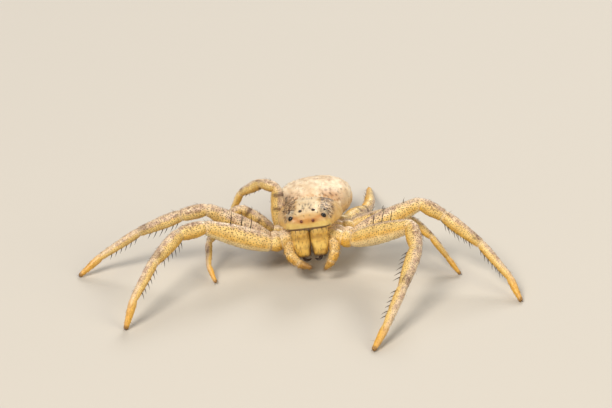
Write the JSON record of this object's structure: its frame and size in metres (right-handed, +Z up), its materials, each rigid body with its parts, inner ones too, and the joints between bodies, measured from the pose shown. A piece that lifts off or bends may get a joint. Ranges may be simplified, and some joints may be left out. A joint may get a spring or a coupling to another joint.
{
  "type": "crab spider, still life-size model",
  "caption": "Crab spider with speckled cream and yellow legs spread in readiness, dark eyes on pale knobs and a broad, flat pinkish-cream abdomen.",
  "frame": {"origin": "centre of the bounding box at floor level, under the body", "axes": "+Z up, -Y the way the face looks, +X toward the spider's own left side"},
  "size_m": [0.0206, 0.0158, 0.0037],
  "materials": {
    "carapace_shell": "satin cream-brown shell with darker speckled side bands and fine hair",
    "abdomen_skin": "soft matt pinkish cream with tan patches",
    "leg_skin": "satin cream above and warm yellow below, densely speckled, short hair",
    "foot_skin": "satin warm yellow with brown speckles",
    "underside_skin": "satin pale yellow",
    "jaw_shell": "glossy warm yellow with a brown band",
    "claw_horn": "glossy dark brown",
    "eye_dark": "wet glossy black",
    "eye_brown": "wet glossy dark brown"
  },
  "bodies": {
    "root": {"abdomen": "abdomen_skin", "carapace": "carapace_shell", "chelicera_left": "jaw_shell", "chelicera_right": "jaw_shell", "eye_front_lateral_left": "eye_dark", "eye_front_lateral_right": "eye_dark", "eye_front_median_left": "eye_brown", "eye_front_median_right": "eye_brown", "eye_rear_lateral_left": "eye_brown", "eye_rear_lateral_right": "eye_brown", "eye_rear_median_left": "eye_brown", "eye_rear_median_right": "eye_brown", "fang_left": "claw_horn", "fang_right": "claw_horn", "leg1_left_coxa": "underside_skin", "leg1_left_femur": "leg_skin", "leg1_left_foot": "foot_skin", "leg1_left_tibia": "leg_skin", "leg1_right_coxa": "underside_skin", "leg1_right_femur": "leg_skin", "leg1_right_foot": "foot_skin", "leg1_right_tibia": "leg_skin", "leg2_left_coxa": "underside_skin", "leg2_left_femur": "leg_skin", "leg2_left_foot": "foot_skin", "leg2_left_tibia": "leg_skin", "leg2_right_coxa": "underside_skin", "leg2_right_femur": "leg_skin", "leg2_right_foot": "foot_skin", "leg2_right_tibia": "leg_skin", "leg3_left_coxa": "underside_skin", "leg3_left_femur": "leg_skin", "leg3_left_foot": "foot_skin", "leg3_left_tibia": "leg_skin", "leg3_right_coxa": "underside_skin", "leg3_right_femur": "leg_skin", "leg3_right_foot": "foot_skin", "leg3_right_tibia": "leg_skin", "leg4_left_coxa": "underside_skin", "leg4_left_femur": "leg_skin", "leg4_left_foot": "foot_skin", "leg4_left_tibia": "leg_skin", "leg4_right_coxa": "underside_skin", "leg4_right_femur": "leg_skin", "leg4_right_foot": "foot_skin", "leg4_right_tibia": "leg_skin", "palp_left_lower": "foot_skin", "palp_left_upper": "leg_skin", "palp_right_lower": "foot_skin", "palp_right_upper": "leg_skin", "pedicel": "underside_skin", "spinnerets": "underside_skin", "sternum": "underside_skin"}
  },
  "joints": []
}
